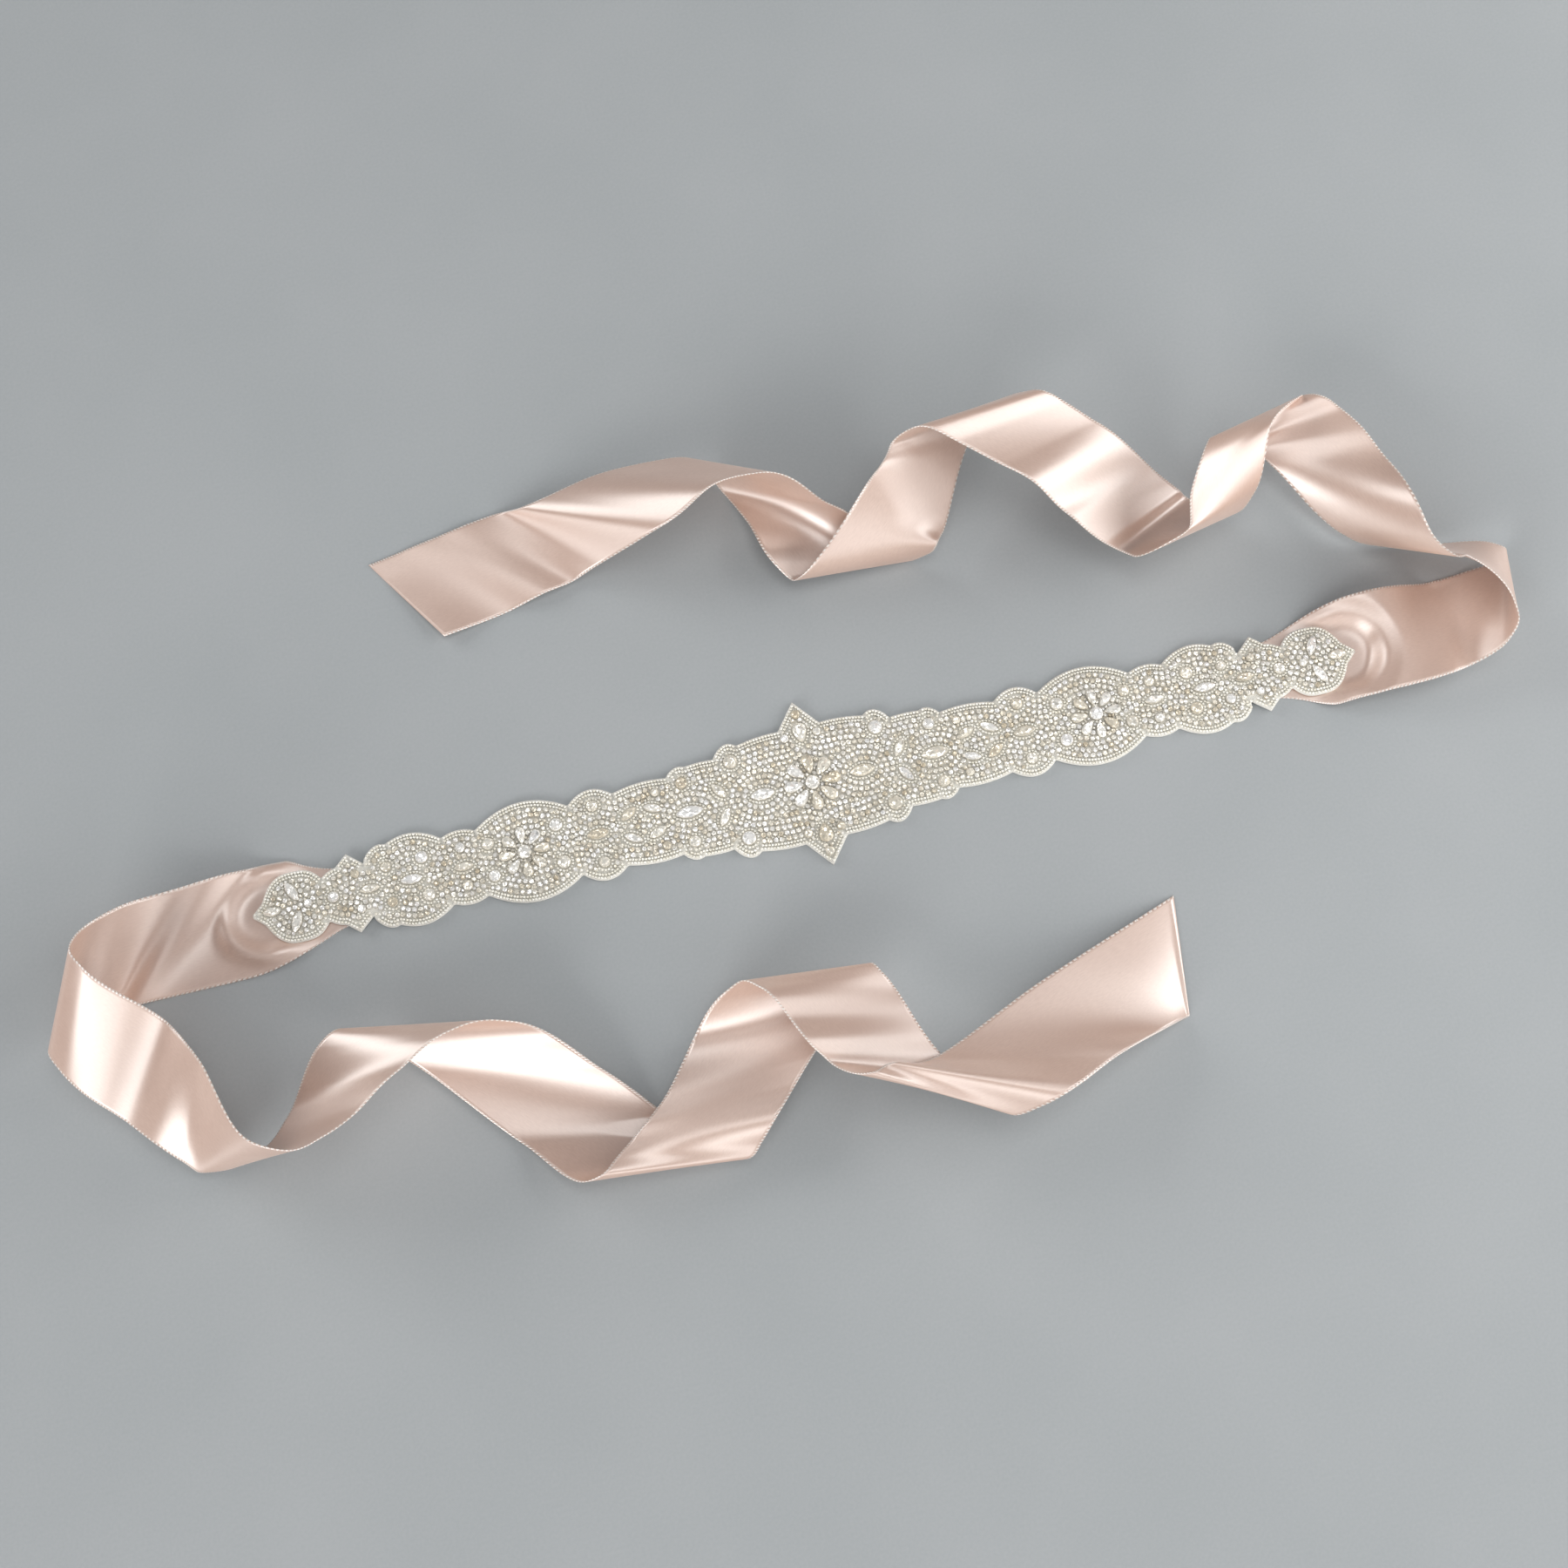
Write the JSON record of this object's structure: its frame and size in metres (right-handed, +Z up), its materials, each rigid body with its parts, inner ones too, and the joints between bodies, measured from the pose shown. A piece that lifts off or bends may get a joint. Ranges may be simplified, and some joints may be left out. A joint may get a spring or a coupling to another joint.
{
  "type": "bridal sash",
  "caption": "Bridal sash laid out flat: a long crystal-beaded panel on white organza, with two blush satin ribbon tails folded back and forth in loose zigzags.",
  "frame": {"origin": "middle of the bounding box in plan, at the level of the surface the sash lies on", "axes": "+X along the beaded panel towards its right end, +Y away from the viewer who stands at the panel's lower edge, +Z up"},
  "size_m": [0.5478, 0.2662, 0.0461],
  "materials": {
    "satin_ribbon": "blush double-faced satin, soft sheen",
    "organza": "white organza, sheer, with a sewn edge",
    "crystal_beads": "clear and silver-lined glass beads and rhinestones, polished"
  },
  "bodies": {
    "root": {"organza_ground": "organza", "beadwork": "crystal_beads", "left_tail_1": "satin_ribbon", "left_tail_2": "satin_ribbon", "left_tail_3": "satin_ribbon", "left_tail_4": "satin_ribbon", "left_tail_5": "satin_ribbon", "left_tail_6": "satin_ribbon", "left_tail_7": "satin_ribbon", "right_tail_1": "satin_ribbon", "right_tail_2": "satin_ribbon", "right_tail_3": "satin_ribbon", "right_tail_4": "satin_ribbon", "right_tail_5": "satin_ribbon", "right_tail_6": "satin_ribbon", "right_tail_7": "satin_ribbon", "right_tail_8": "satin_ribbon"}
  },
  "joints": []
}
